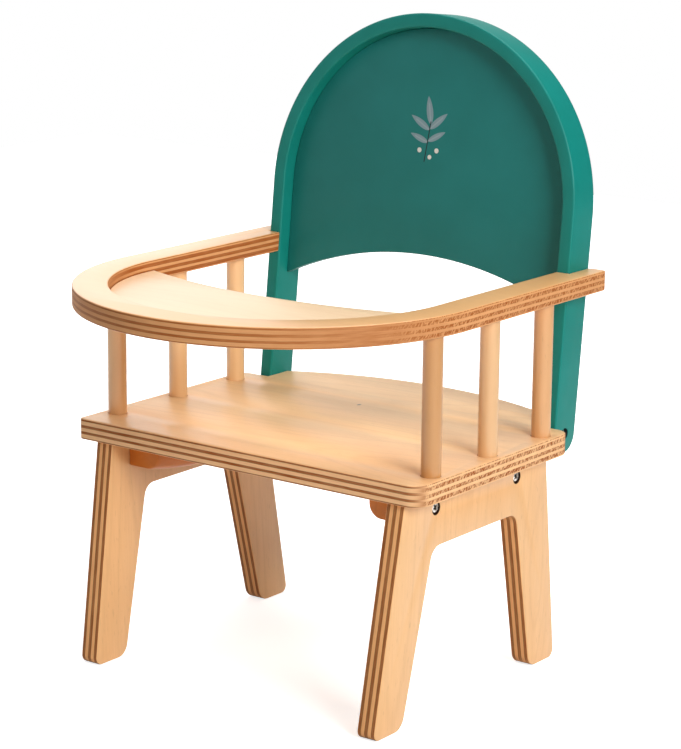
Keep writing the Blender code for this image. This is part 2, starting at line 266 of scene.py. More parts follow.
def rgb(r, g, b):
    return (r, g, b, 1.0)


def addNode(tree, kind, **values):
    node = tree.nodes.new(kind)
    for key, value in values.items():
        setattr(node, key, value)
    return node


def feed(tree, source, node, socket):
    # a number, a place or a colour is set on the socket, and another node's output is linked to it
    if isinstance(source, (int, float, tuple)):
        node.inputs[socket].default_value = source
    else:
        tree.links.new(source, node.inputs[socket])


def mathNode(tree, operation, a, b=None, clamp=False):
    node = addNode(tree, "ShaderNodeMath", operation=operation, use_clamp=clamp)
    feed(tree, a, node, 0)
    if b is not None:
        feed(tree, b, node, 1)
    return node.outputs[0]


def plus(tree, a, b):
    return mathNode(tree, "ADD", a, b)


def minus(tree, a, b):
    return mathNode(tree, "SUBTRACT", a, b)


def times(tree, a, b):
    return mathNode(tree, "MULTIPLY", a, b)


def larger(tree, a, b):
    return mathNode(tree, "MAXIMUM", a, b)


def unsigned(tree, a):
    return mathNode(tree, "ABSOLUTE", a)


def vectorNode(tree, operation, a, b=None, scale=None):
    node = addNode(tree, "ShaderNodeVectorMath", operation=operation)
    feed(tree, a, node, 0)
    if b is not None:
        feed(tree, b, node, 1)
    if scale is not None:
        feed(tree, scale, node, "Scale")
    return node.outputs["Value" if operation in ("DOT_PRODUCT", "LENGTH", "DISTANCE") else "Vector"]


def squeezed(tree, place, shares):
    return vectorNode(tree, "MULTIPLY", place, shares)


def noiseNode(tree, place, scale, detail, roughness, distortion=0.0):
    node = addNode(tree, "ShaderNodeTexNoise")
    feed(tree, place, node, "Vector")
    for key, value in (("Scale", scale), ("Detail", detail), ("Roughness", roughness),
                       ("Distortion", distortion)):
        feed(tree, value, node, key)
    return node.outputs[0]


def mapRange(tree, value, fromLow, fromHigh, toLow=0.0, toHigh=1.0, smooth=False):
    node = addNode(tree, "ShaderNodeMapRange", interpolation_type="SMOOTHSTEP" if smooth else "LINEAR")
    for key, item in (("Value", value), ("From Min", fromLow), ("From Max", fromHigh), ("To Min", toLow),
                      ("To Max", toHigh)):
        feed(tree, item, node, key)
    return node.outputs[0]


def mixColour(tree, share, a, b):
    node = addNode(tree, "ShaderNodeMix", data_type="RGBA")
    for socket, source in ((0, share), (6, a), (7, b)):
        feed(tree, source, node, socket)
    return node.outputs[2]


def mixNumber(tree, share, a, b):
    node = addNode(tree, "ShaderNodeMix", data_type="FLOAT")
    for socket, source in ((0, share), (2, a), (3, b)):
        feed(tree, source, node, socket)
    return node.outputs[0]


def joinVector(tree, x, y, z=0.0):
    node = addNode(tree, "ShaderNodeCombineXYZ")
    for socket, source in enumerate((x, y, z)):
        feed(tree, source, node, socket)
    return node.outputs[0]


def splitVector(tree, vector):
    node = addNode(tree, "ShaderNodeSeparateXYZ")
    feed(tree, vector, node, 0)
    return node.outputs


def readAttribute(tree, name):
    return addNode(tree, "ShaderNodeAttribute", attribute_name=name).outputs["Vector"]


def readPlace(tree, kind="Object"):
    return addNode(tree, "ShaderNodeTexCoord").outputs[kind]


def newGroup(name, inputs, outputs):
    # an input whose value is None is a vector, the others are numbers, and so is every output
    group = bpy.data.node_groups.new(name, "ShaderNodeTree")
    for label, value in inputs.items():
        kind = "NodeSocketVector" if value is None else "NodeSocketFloat"
        socket = group.interface.new_socket(name=label, in_out="INPUT", socket_type=kind)
        if value is not None:
            socket.default_value = value
    for label in outputs:
        group.interface.new_socket(name=label, in_out="OUTPUT", socket_type="NodeSocketFloat")
    return group, group.nodes.new("NodeGroupInput").outputs, group.nodes.new("NodeGroupOutput")


def useGroup(tree, group, **values):
    node = addNode(tree, "ShaderNodeGroup", node_tree=group)
    for key, value in values.items():
        feed(tree, value, node, key)
    return node.outputs


def newMaterial(name, roughness, metallic=0.0, specular=0.5):
    material = bpy.data.materials.new(name)
    material.use_nodes = True
    shader = material.node_tree.nodes["Principled BSDF"]
    shader.inputs["Roughness"].default_value = roughness
    shader.inputs["Metallic"].default_value = metallic
    shader.inputs["Specular IOR Level"].default_value = specular
    return material, material.node_tree, shader


def addBump(tree, shader, height, look):
    bump = addNode(tree, "ShaderNodeBump")
    feed(tree, look["bumpStrength"], bump, "Strength")
    feed(tree, look["bumpDepth"], bump, "Distance")
    feed(tree, height, bump, "Height")
    feed(tree, bump.outputs[0], shader, "Normal")


# Shader groups. Their noises are given as (scale, detail, roughness)

figureLook = {
    "broad": (42.0, 3.0, 0.5),
    "contour": (24.0, 1.5, 0.45, 0.5),
    "fibres": (1100.0, 2.0, 0.6),
    "pores": (1500.0, 1.0, 0.5),
    "along": {"broad": 0.22, "contour": 0.16, "fibres": 0.05, "pores": 0.14},
    "swirl": 0.6,
    "lineCount": 13.0,
    "lineReach": 0.22,
    "poreReach": (0.66, 0.74),
}


def makeWoodFigure():
    # Place runs along the grain in its first coordinate, and each noise is squeezed there to draw it out
    look = figureLook
    group, given, outside = newGroup("woodFigure", {"Place": None, "Swirl": look["swirl"]},
                                     ["Broad", "Lines", "Fibres", "Pores"])

    def drawnOut(kind, *distortion):
        place = squeezed(group, given["Place"], (look["along"][kind], 1.0, 1.0))
        return noiseNode(group, place, *look[kind], *distortion)

    # the growth lines are the contours of a soft noise
    bands = mathNode(group, "FRACT", times(group, drawnOut("contour"), look["lineCount"]))
    fromMiddle = unsigned(group, minus(group, bands, 0.5))
    feed(group, drawnOut("broad", given["Swirl"]), outside, "Broad")
    feed(group, mapRange(group, fromMiddle, 0.0, look["lineReach"], 1.0, 0.0, True), outside, "Lines")
    feed(group, drawnOut("fibres"), outside, "Fibres")
    feed(group, mapRange(group, drawnOut("pores"), *look["poreReach"], 0.0, 1.0, True), outside, "Pores")
    return group


cutLook = {
    "facePower": 2.4,
    "crossPower": 0.8,
    "slant": (0.8, 0.3, 0.1),
    "dashes": (1250.0, 2.0, 0.6),
    "dashReach": (0.36, 0.62),
    "streaks": (1500.0, 3.0, 0.6),
    "streakSqueeze": (0.07, 0.07, 1.0),
    "streakReach": (0.3, 0.7),
    "sawnLeast": 0.22,
    "planedLeast": 0.80,
    "squareReach": (0.86, 0.985),
}


def makePlyCut():
    # How far each ply is cut across its grain at an edge: cross plies by Cross Cut, the others by Face Cut.
    # Where the cut is square to the grain and the wall isn't smooth, the sawn ends break into slanted dashes.
    # Streaks run along every edge
    look = cutLook
    group, given, outside = newGroup(
        "plyCut", {"Place": None, "Cross": 0.0, "Face Cut": 0.0, "Cross Cut": 0.0, "Smooth": 0.0},
        ["End", "Dashes", "Streaks"])
    faceCut = mathNode(group, "POWER", given["Face Cut"], look["facePower"])
    crossCut = mathNode(group, "POWER", given["Cross Cut"], look["crossPower"])
    along, across, through = splitVector(group, given["Place"])
    lean, spread, draw = look["slant"]
    slanted = joinVector(group, minus(group, across, times(group, through, lean)),
                         times(group, plus(group, across, through), spread), times(group, along, draw))
    dashes = mapRange(group, noiseNode(group, slanted, *look["dashes"]), *look["dashReach"], 0.0, 1.0, True)
    flattened = squeezed(group, given["Place"], look["streakSqueeze"])
    streakField = noiseNode(group, flattened, *look["streaks"])
    streaks = mapRange(group, streakField, *look["streakReach"], 0.0, 1.0, True)
    sawn = mapRange(group, dashes, 0.0, 1.0, look["sawnLeast"], 1.0)
    planed = mapRange(group, streaks, 0.0, 1.0, look["planedLeast"], 1.0)
    slanting = mapRange(group, given["Face Cut"], *look["squareReach"], 1.0, 0.0, True)
    broken = mixNumber(group, larger(group, given["Smooth"], slanting), sawn, planed)
    end = mixNumber(group, given["Cross"], times(group, faceCut, broken), times(group, crossCut, planed))
    for label, value in (("End", end), ("Dashes", dashes), ("Streaks", streaks)):
        feed(group, value, outside, label)
    return group


leafLook = {
    "powers": (0.6, 0.85),
    "breadth": 1.32,
    "edgeReach": 0.05,
    "veinReach": (0.07, 0.12),
    "veinEnd": (0.70, 0.78),
}


def makeLeafMask():
    # The leaf starts at Base and points along Direction. With s the share of its Length and out the distance
    # from its middle line over Width, it covers 2 |out| < 1.32 s^0.6 (1 - s)^0.85. A vein runs up its middle
    look = leafLook
    group, given, outside = newGroup(
        "leafMask", {"Place": None, "Base": None, "Direction": None, "Length": 0.01, "Width": 0.004},
        ["Leaf", "Vein"])
    away = vectorNode(group, "SUBTRACT", given["Place"], given["Base"])
    x, y, _ = splitVector(group, given["Direction"])
    sideways = joinVector(group, times(group, y, -1.0), x)
    forwards = vectorNode(group, "DOT_PRODUCT", away, given["Direction"])
    along = mathNode(group, "DIVIDE", forwards, given["Length"])
    out = mathNode(group, "DIVIDE", vectorNode(group, "DOT_PRODUCT", away, sideways), given["Width"])
    fromBase = mathNode(group, "POWER", larger(group, along, 0.0), look["powers"][0])
    toTip = mathNode(group, "POWER", larger(group, minus(group, 1.0, along), 0.0), look["powers"][1])
    half = times(group, times(group, fromBase, toTip), look["breadth"])
    side = unsigned(group, times(group, out, 2.0))
    inLeaf = mapRange(group, minus(group, half, side), 0.0, look["edgeReach"], 0.0, 1.0, True)
    vein = times(group, mapRange(group, side, *look["veinReach"], 1.0, 0.0, True),
                 mapRange(group, along, *look["veinEnd"], 1.0, 0.0, True))
    feed(group, inLeaf, outside, "Leaf")
    feed(group, times(group, vein, inLeaf), outside, "Vein")
    return group


skinLook = {
    "mottle": (38.0, 3.0, 0.55),
    "peel": (1700.0, 2.0, 0.5),
    "streak": (900.0, 2.0, 0.5),
    "streakSqueeze": (1.0, 1.0, 0.06),
    "peelShare": 0.7,
    "streakShare": 0.5,
}


def makePaintSkin():
    # Sprayed satin paint over wood: a fine orange peel, the grain showing through it, and a little mottling
    look = skinLook
    group, given, outside = newGroup("paintSkin", {"Place": None}, ["Mottle", "Peel"])
    peel = noiseNode(group, given["Place"], *look["peel"])
    streak = noiseNode(group, squeezed(group, given["Place"], look["streakSqueeze"]), *look["streak"])
    relief = plus(group, times(group, peel, look["peelShare"]), times(group, streak, look["streakShare"]))
    feed(group, noiseNode(group, given["Place"], *look["mottle"]), outside, "Mottle")
    feed(group, relief, outside, "Peel")
    return group


woodFigure = makeWoodFigure()
plyCut = makePlyCut()
leafMask = makeLeafMask()
paintSkin = makePaintSkin()

# Wood materials

woodLook = {
    "faceLine": rgb(0.60, 0.31, 0.12),
    "pore": rgb(0.42, 0.21, 0.08),
    "knot": rgb(0.17, 0.07, 0.03),
    # the next two are painted shade: a contact shadow on the soles, then the dark down in the wells
    "soleContactShadow": rgb(0.075, 0.030, 0.012),
    "hole": rgb(0.030, 0.012, 0.005),
    "shares": (0.12, 0.14, 0.16),     # how strongly lines, fibres and pores show on a face
    "streakShare": 0.14,
    "broadReach": (0.30, 0.70),
    "fibreReach": (0.35, 0.75),
    "sheetReach": (0.470, 0.488),     # from the sheet's middle, where its cut edge gives way to its face
    "edgeReach": 0.2,
    "knotReach": (0.0004, 0.0011),
    "knotSqueeze": (1.0, 0.6, 0.0),
    "knotShare": 0.9,
    "soleContactShadowReach": (0.0007, 0.0016),
    "soleContactShadowShare": 0.90,
    "glueSlope": 0.008,
    "bareSpecular": 0.25,
    "bareRoughness": 0.25,
    "fibreRoughness": (-0.04, 0.10),  # added to the roughness everywhere, and then by the fibres
    "fibreRelief": 0.35,
    "poreRelief": 0.5,
    "dashRelief": 1.2,
    "bumpStrength": 0.25,
    "bumpDepth": 0.00008,
}

# Each board's own face and edge colours, how strongly its figure shows, its varnish (roughness under it, then
# the coat's weight and roughness), a small pin knot where it has one, and whether a contact shadow is
# painted on its soles
boardLooks = {
    "seatPly": {"light": rgb(1.00, 0.640, 0.328), "warm": rgb(0.97, 0.580, 0.280),
                "long": rgb(1.00, 0.62, 0.32), "end": rgb(0.31, 0.072, 0.008), "figure": 1.0,
                "varnish": (0.50, 0.55, 0.38), "knot": (0.3006, 0.3211), "shadedSoles": False},
    "ringPly": {"light": rgb(0.94, 0.508, 0.200), "warm": rgb(0.90, 0.465, 0.17),
                "long": rgb(0.76, 0.38, 0.155), "end": rgb(0.34, 0.085, 0.010), "figure": 0.5,
                "varnish": (0.36, 0.80, 0.32), "knot": None, "shadedSoles": False},
    "legPly": {"light": rgb(0.85, 0.500, 0.225), "warm": rgb(0.80, 0.450, 0.190),
               "long": rgb(1.00, 0.52, 0.21), "end": rgb(0.28, 0.085, 0.018), "figure": 1.35,
               "varnish": (0.40, 0.50, 0.40), "knot": None, "shadedSoles": True},
    "trayPly": {"light": rgb(0.96, 0.69, 0.43), "warm": rgb(0.94, 0.64, 0.385),
                "long": rgb(0.90, 0.52, 0.24), "end": rgb(0.36, 0.120, 0.030), "figure": 0.4,
                "varnish": (0.40, 0.60, 0.36), "knot": None, "shadedSoles": False},
}

# Where each ply ends, as a share of the sheet's depth, from its lower or inner face. True marks a cross ply
seatAndRingLayup = [(0.025, False), (0.080, True), (0.258, False), (0.383, True), (0.548, False),
                    (0.683, True), (0.868, False), (0.945, True), (1.0, False)]
legLayup = [(0.040, False), (0.215, True), (0.405, False), (0.595, True), (0.785, False), (0.960, True),
            (1.0, False)]
trayLayup = [(0.10, False), (0.36, True), (0.64, False), (0.90, True), (1.0, False)]


def plyRamp(tree, depth, layup):
    # white where the depth lies in a cross ply, with narrow slopes at the glue lines
    ramp = addNode(tree, "ShaderNodeValToRGB")
    feed(tree, depth, ramp, 0)
    elements = ramp.color_ramp.elements
    for element, at in zip(elements, (0.0, 1.0)):
        element.position = at
        element.color = rgb(0, 0, 0)
    slope = woodLook["glueSlope"]
    for (end, cross), (_, following) in zip(layup, layup[1:]):
        for at, value in ((end - slope, cross), (end + slope, following)):
            elements.new(at).color = rgb(*[float(value)] * 3)
    return ramp.outputs[0]


def varnishedWood(tree, shader, height, coat, coatRoughness):
    # the varnish is a clear coat over the wood, and the bump under it comes from the fibres and pores
    feed(tree, coat, shader, "Coat Weight")
    feed(tree, coatRoughness, shader, "Coat Roughness")
    addBump(tree, shader, height, woodLook)


def figuredWood(tree, figure, light, warm, lineColour, shares):
    # broad bands of two tones, then growth lines, fibres and pores laid over them by their shares
    lines, fibres, pores = shares
    colour = mixColour(tree, mapRange(tree, figure["Broad"], *woodLook["broadReach"]), light, warm)
    colour = mixColour(tree, times(tree, figure["Lines"], lines), colour, lineColour)
    fibreShare = mapRange(tree, figure["Fibres"], *woodLook["fibreReach"], 0.0, fibres)
    colour = mixColour(tree, fibreShare, colour, lineColour)
    return mixColour(tree, times(tree, figure["Pores"], pores), colour, woodLook["pore"])


def makePlywood(name, layup):
    wood, look = woodLook, boardLooks[name]
    roughness, coat, coatRoughness = look["varnish"]
    material, tree, shader = newMaterial(name, roughness, specular=wood["bareSpecular"])
    place = readAttribute(tree, "grainPlace")
    depth, faceCut, crossCut = splitVector(tree, readAttribute(tree, "plyPlace"))
    smoothWall, inWell, _ = splitVector(tree, readAttribute(tree, "cutKind"))
    figure = useGroup(tree, woodFigure, Place=place)
    cut = useGroup(tree, plyCut, **{"Place": place, "Cross": plyRamp(tree, depth, layup),
                                    "Face Cut": faceCut, "Cross Cut": crossCut, "Smooth": smoothWall})
    onEdge = larger(tree, times(tree, faceCut, faceCut), times(tree, crossCut, crossCut))
    fromMiddle = unsigned(tree, minus(tree, depth, 0.5))
    inSheet = mapRange(tree, fromMiddle, *wood["sheetReach"], 1.0, 0.0, True)
    edgeShare = times(tree, mapRange(tree, onEdge, 0.0, wood["edgeReach"]), inSheet)
    face = figuredWood(tree, figure, look["light"], look["warm"], wood["faceLine"],
                       [share * look["figure"] for share in wood["shares"]])
    if look["knot"]:
        # the pin knot is a small dark dot, drawn out a little across the grain
        around = vectorNode(tree, "SUBTRACT", place, (*look["knot"], seatTop))
        away = vectorNode(tree, "LENGTH", squeezed(tree, around, wood["knotSqueeze"]))
        dot = mapRange(tree, away, *wood["knotReach"], wood["knotShare"], 0.0, True)
        face = mixColour(tree, dot, face, wood["knot"])
    edge = mixColour(tree, cut["End"], look["long"], look["end"])
    streaks = mapRange(tree, cut["Streaks"], 0.0, 1.0, 0.0, wood["streakShare"])
    edge = mixColour(tree, streaks, edge, look["end"])
    colour = mixColour(tree, edgeShare, face, edge)
    if look["shadedSoles"]:
        # a contact shadow is painted on the soles' cut edges, darkest where they stand on the floor
        level = splitVector(tree, readPlace(tree))[2]
        contactShadowMask = mapRange(tree, level, *wood["soleContactShadowReach"], wood["soleContactShadowShare"], 0.0, True)
        colour = mixColour(tree, times(tree, edgeShare, contactShadowMask), colour, wood["soleContactShadow"])
    # shade is painted dark down in the wells
    feed(tree, mixColour(tree, inWell, colour, wood["hole"]), shader, "Base Color")
    bare = larger(tree, edgeShare, inWell)
    base, byFibres = wood["fibreRoughness"]
    rough = plus(tree, roughness + base, times(tree, figure["Fibres"], byFibres))
    feed(tree, plus(tree, rough, times(tree, bare, wood["bareRoughness"])), shader, "Roughness")
    sunk = times(tree, times(tree, cut["End"], edgeShare), times(tree, cut["Dashes"], wood["dashRelief"]))
    sunk = plus(tree, sunk, times(tree, figure["Pores"], wood["poreRelief"]))
    height = minus(tree, times(tree, figure["Fibres"], wood["fibreRelief"]), sunk)
    varnishedWood(tree, shader, height, mapRange(tree, bare, 0.0, 1.0, coat, 0.0), coatRoughness)
    return material


solidLook = {
    "dowelWood": {"light": rgb(0.80, 0.44, 0.190), "dark": rgb(0.73, 0.37, 0.145),
                  "shares": (0.25, 0.25, 0.20), "roughness": 0.36, "specular": 0.5, "coat": 0.5},
    "battenWood": {"light": rgb(0.74, 0.245, 0.032), "dark": rgb(0.56, 0.155, 0.018),
                   "shares": (0.5, 0.25, 0.20), "roughness": 0.45, "specular": 0.3, "coat": 0.0},
    "pale": rgb(0.84, 0.56, 0.29),
    "deep": rgb(0.62, 0.29, 0.085),
    "fibreRoughness": (-0.05, 0.12),
    "coatRoughness": 0.32,
}


def makeSolidWood(name):
    # the piece's tone attribute holds its brightness, and its share of the pale and of the deep colour. On
    # the left sticks, the extra brightness and pale share are painted light from the left and painted sheen
    look = solidLook[name]
    material, tree, shader = newMaterial(name, look["roughness"], specular=look["specular"])
    figure = useGroup(tree, woodFigure, Place=readAttribute(tree, "grainPlace"))
    colour = figuredWood(tree, figure, look["light"], look["dark"], look["dark"], look["shares"])
    brightness, pale, deep = splitVector(tree, readAttribute(tree, "toneAndLight"))
    colour = mixColour(tree, pale, colour, solidLook["pale"])
    colour = mixColour(tree, deep, colour, solidLook["deep"])
    feed(tree, vectorNode(tree, "SCALE", colour, scale=brightness), shader, "Base Color")
    base, byFibres = solidLook["fibreRoughness"]
    rough = plus(tree, look["roughness"] + base, times(tree, figure["Fibres"], byFibres))
    feed(tree, rough, shader, "Roughness")
    height = minus(tree, figure["Fibres"], figure["Pores"])
    varnishedWood(tree, shader, height, look["coat"], solidLook["coatRoughness"])
    return material


seatPly = makePlywood("seatPly", seatAndRingLayup)
ringPly = makePlywood("ringPly", seatAndRingLayup)
legPly = makePlywood("legPly", legLayup)
trayPly = makePlywood("trayPly", trayLayup)
dowelWood = makeSolidWood("dowelWood")
battenWood = makeSolidWood("battenWood")

# Paint and steel

paintLook = {
    # the strip's green and the panel's are lit and shaded copies of one paint (painted light and shade)
    "greenLit": rgb(0.0054, 0.230, 0.196),
    "greenLitDeep": rgb(0.0048, 0.210, 0.176),
    "greenShaded": rgb(0.012, 0.198, 0.184),
    "greenShadedDeep": rgb(0.011, 0.181, 0.167),
    "leaf": rgb(0.235, 0.345, 0.385),
    "leafPale": rgb(0.300, 0.410, 0.440),
    "stem": rgb(0.010, 0.020, 0.022),
    "berry": rgb(0.80, 0.80, 0.74),
    "printEdge": 0.0001,
    "mottleReach": (0.35, 0.65),
    "specular": 0.25,
    "roughness": 0.42,
    "roughnessSpread": 0.03,
    "roughnessReach": (0.3, 0.7),
    "holeEdge": (0.00005, 0.00015),   # beyond the hole's radius
    "holeMouth": (0.0003, 0.0001),    # below the strip's outer face
    "bumpStrength": 0.2,
    "bumpDepth": 0.00005,
}

# The printed sprig, in metres across the panel and up it. Each leaf is (base, angle, Length, Width)
sprigLook = {
    "centre": (-0.0005, 0.1237),
    "leaves": [((0.0000, 0.0030), 100, 0.0130, 0.0076), ((-0.0006, 0.0004), 150, 0.0120, 0.0068),
               ((-0.0004, 0.0008), 40, 0.0120, 0.0068), ((-0.0010, -0.0054), 160, 0.0104, 0.0060),
               ((-0.0008, -0.0048), 28, 0.0104, 0.0060)],
    "stemFrom": (-0.0022, -0.0142),
    "stemTo": (0.0000, 0.0040),
    "stemWidth": 0.00042,
    "berries": [((-0.0052, -0.0092), 0.0011), ((0.0042, -0.0088), 0.0011), ((0.0006, -0.0120), 0.0010)],
}


def sprigPlace(offset):
    return (sprigLook["centre"][0] + offset[0], sprigLook["centre"][1] + offset[1], 0.0)


def printSprig(tree, colour):
    # the leaves with their veins, then the stem, then the berries, each over what is already there
    s, edge = sprigLook, paintLook["printEdge"]
    place = readAttribute(tree, "printPlace")
    leaves = veins = 0.0
    for base, angle, length, width in s["leaves"]:
        a = math.radians(angle)
        leaf = useGroup(tree, leafMask, Place=place, Base=sprigPlace(base),
                        Direction=(math.cos(a), math.sin(a), 0.0), Length=length, Width=width)
        leaves = larger(tree, leaves, leaf["Leaf"])
        veins = larger(tree, veins, leaf["Vein"])
    # the stem is all that lies near the straight line from stemFrom to stemTo
    x, y = s["stemTo"][0] - s["stemFrom"][0], s["stemTo"][1] - s["stemFrom"][1]
    span, half = math.hypot(x, y), s["stemWidth"] / 2
    away = vectorNode(tree, "SUBTRACT", place, sprigPlace(s["stemFrom"]))
    forwards = vectorNode(tree, "DOT_PRODUCT", away, (x / span, y / span, 0.0))
    share = mathNode(tree, "DIVIDE", forwards, span, clamp=True)
    nearest = vectorNode(tree, "SCALE", (x, y, 0.0), scale=share)
    stem = mapRange(tree, vectorNode(tree, "DISTANCE", away, nearest), half, half + edge, 1.0, 0.0)
    colour = mixColour(tree, leaves, colour, paintLook["leaf"])
    colour = mixColour(tree, veins, colour, paintLook["leafPale"])
    colour = mixColour(tree, stem, colour, paintLook["stem"])
    for offset, radius in s["berries"]:
        away = vectorNode(tree, "DISTANCE", place, sprigPlace(offset))
        spot = mapRange(tree, away, radius, radius + edge, 1.0, 0.0)
        colour = mixColour(tree, spot, colour, paintLook["berry"])
    return colour


def paintHoleShade(tree, place, colour, mouth, radius):
    # shade is painted dark inside the screws' holes, in the print's stem colour. Their axis runs along X
    # through mouth, which lies in the outer face
    x, y, z = splitVector(tree, place)
    y, z = minus(tree, y, mouth.y), minus(tree, z, mouth.z)
    away = mathNode(tree, "SQRT", plus(tree, times(tree, y, y), times(tree, z, z)))
    near, far = paintLook["holeEdge"]
    within = mapRange(tree, away, radius + near, radius + far, 1.0, 0.0)
    deep, shallow = paintLook["holeMouth"]
    below = mapRange(tree, unsigned(tree, x), mouth.x - deep, mouth.x - shallow, 1.0, 0.0)
    return mixColour(tree, times(tree, within, below), colour, paintLook["stem"])


def makePaint(name, light, deep, printed=False, hole=None):
    look = paintLook
    material, tree, shader = newMaterial(name, look["roughness"], specular=look["specular"])
    place = readPlace(tree)
    skin = useGroup(tree, paintSkin, Place=place)
    mottle = mapRange(tree, skin["Mottle"], *look["mottleReach"])
    colour = mixColour(tree, mottle, look[light], look[deep])
    if printed:
        colour = printSprig(tree, colour)
    if hole:
        colour = paintHoleShade(tree, place, colour, *hole)
    feed(tree, colour, shader, "Base Color")
    low, high = look["roughness"] - look["roughnessSpread"], look["roughness"] + look["roughnessSpread"]
    feed(tree, mapRange(tree, skin["Mottle"], *look["roughnessReach"], low, high), shader, "Roughness")
    addBump(tree, shader, skin["Peel"], look)
    return material


steelLook = {
    "bright": rgb(0.80, 0.77, 0.72),
    "dull": rgb(0.62, 0.59, 0.55),
    "crossShade": rgb(0.012, 0.010, 0.008),
    "cloud": (900.0, 3.0, 0.6),
    "scratch": (5200.0, 2.0, 0.5),
    "roughness": 0.28,
    "roughnessReach": (0.3, 0.7, 0.24, 0.38),
    "bumpStrength": 0.15,
    "bumpDepth": 0.00003,
}


def makeSteel():
    # clouded steel, with shade painted dark down inside the cross
    look = steelLook
    material, tree, shader = newMaterial("screwSteel", look["roughness"], metallic=1.0)
    place = readPlace(tree)
    cloud = noiseNode(tree, place, *look["cloud"])
    metal = mixColour(tree, cloud, look["bright"], look["dull"])
    crossShade = splitVector(tree, readAttribute(tree, "crossShade"))[0]
    feed(tree, mixColour(tree, crossShade, metal, look["crossShade"]), shader, "Base Color")
    feed(tree, mapRange(tree, cloud, *look["roughnessReach"]), shader, "Roughness")
    addBump(tree, shader, noiseNode(tree, place, *look["scratch"]), look)
    return material


screwSteel = makeSteel()
print("materials made")

# Camera

cameraLook = {
    "place": (0.67545, -0.89217, 0.39777),
    "azimuth": 36.33,
    "elevation": 13.22,
    "roll": 0.61,
    "lens": 126.39,
    "sensor": 36,
    "shift": (-0.0045, -0.0030),
    "nearest": 0.01,
}


def makeCamera():
    # back points from the object to the camera, and the roll turns the picture's right and up about it
    az, el, roll = (math.radians(cameraLook[key]) for key in ("azimuth", "elevation", "roll"))
    back = Vector((math.sin(az) * math.cos(el), -math.cos(az) * math.cos(el), math.sin(el)))
    right = Vector((math.cos(az), math.sin(az), 0))
    up = back.cross(right)
    acrossView = right * math.cos(roll) + up * math.sin(roll)
    upView = up * math.cos(roll) - right * math.sin(roll)
    data = bpy.data.cameras.new("photoCamera")
    data.lens = cameraLook["lens"]
    data.sensor_width = cameraLook["sensor"]
    data.shift_x, data.shift_y = cameraLook["shift"]
    data.clip_start = cameraLook["nearest"]
    camera = bpy.data.objects.new("photoCamera", data)
    turn = Matrix((acrossView, upView, back)).transposed().to_4x4()
    camera.matrix_world = Matrix.Translation(cameraLook["place"]) @ turn
    bpy.context.scene.collection.objects.link(camera)
    bpy.context.scene.camera = camera


makeCamera()

# Seat board. A grainStart is where in the endless grain a piece begins, so that no two look alike

spindleLook = {
    "radius": 0.00425,
    "side": 0.0855,
    "rows": (-0.0382, 0.0040, 0.0462),
    "letIn": 0.0018,
    "chamfer": 0.0003,
    "columns": 48,
    "grainStart": (0.0, 0.0, 2.0),
    "grainStep": (0.37, 0.11, 0.0),
    # from left front to right rear: brightness, and the share of the pale and of the deep colour. The left
    # sticks' extra brightness and pale share are painted light from the left and painted sheen
    "tonesAndLight": ((1.10, 0.4, 0), (1.10, 0.8, 0), (1.10, 0.8, 0), (0.88, 0, 0.8), (0.94, 0.5, 0), (0.92, 0, 0)),
}

seatLook = {
    "thickness": 0.0096,
    "half": 0.0925,
    "front": -0.0562,
    "frontLeftRadius": 0.0018,
    "frontRightRadius": 0.0075,
    "wingRear": 0.0602,
    "wingRadius": 0.0066,
    "tongueHalf": hoopInnerHalf - fitGap,
    "tongueSideRear": 0.0753,
    "tongueRear": 0.0950,
    "tongueRootRadius": 0.0004,
    "tongueEndRadius": 0.0006,
    "bowInset": 0.0002,
    "bowSteps": 28,
    "ease": 0.00055,
    "grainStart": (0.31, 0.27, 0.0),
}


def stickSockets(fromTop):
    radius = spindleLook["radius"] + wellLook["socketClearance"]
    return [(side * spindleLook["side"], row + legMiddleY, radius, wellLook["socketDepth"], fromTop)
            for side in (-1, 1) for row in spindleLook["rows"]]


def makeSeat():
    s = seatLook
    rear = [(s["half"], s["wingRear"], s["wingRadius"]),
            (s["tongueHalf"], s["wingRear"], s["tongueRootRadius"]),
            (s["tongueHalf"], s["tongueSideRear"], s["tongueEndRadius"])]
    around = filletOutline([(s["half"], s["front"], s["frontRightRadius"])] + rear + mirrored(rear)
                           + [(-s["half"], s["front"], s["frontLeftRadius"])])
    # four rounded corners, then the bowed rear edge, then the other four
    cutAt = len(around) // 2
    bow = bowPoints((s["tongueHalf"] - s["bowInset"], s["tongueSideRear"]), s["tongueRear"], s["bowSteps"])
    outline = np.concatenate([around[:cutAt], bow, around[cutAt:]]) + (0, legMiddleY)
    low, high = seatTop - s["thickness"], seatTop
    shell = boardShell(outline, low, high, s["ease"], stickSockets(True))
    attributes = boardAttributes(shell, low, high, True, s["grainStart"])
    finishBoard("seatBoard", shell, seatPly, "seat_board", attributes)


makeSeat()

# Leg frames and cleats. Each side's grain starts sideShift to its own side of grainStart

legLook = {
    "thickness": 0.009,
    "outerFace": 0.0838,
    "lean": math.radians(1.7),
    "top": 0.0989,
    "topHalf": 0.0541,
    "topRadius": 0.0006,
    "footOuter": 0.0698,
    "footInner": 0.0493,
    "footOuterRadius": 0.0035,
    "footInnerRadius": 0.0065,
    "archHeight": 0.076,
    "archHalf": 0.0319,
    "archRadius": 0.0065,
    "ease": 0.0005,
    "screwHalfPitch": 0.0309,
    "screwHeight": 0.0928,
    "screwWell": (0.0029, 0.0017),
    "grainStart": (0.6, 0.9, 0.0),
    "sideShift": 0.2,
}


def leanShift(height):
    # how much further in than at its top a leg frame's face lies at this height
    return (legLook["top"] - height) * math.tan(legLook["lean"])


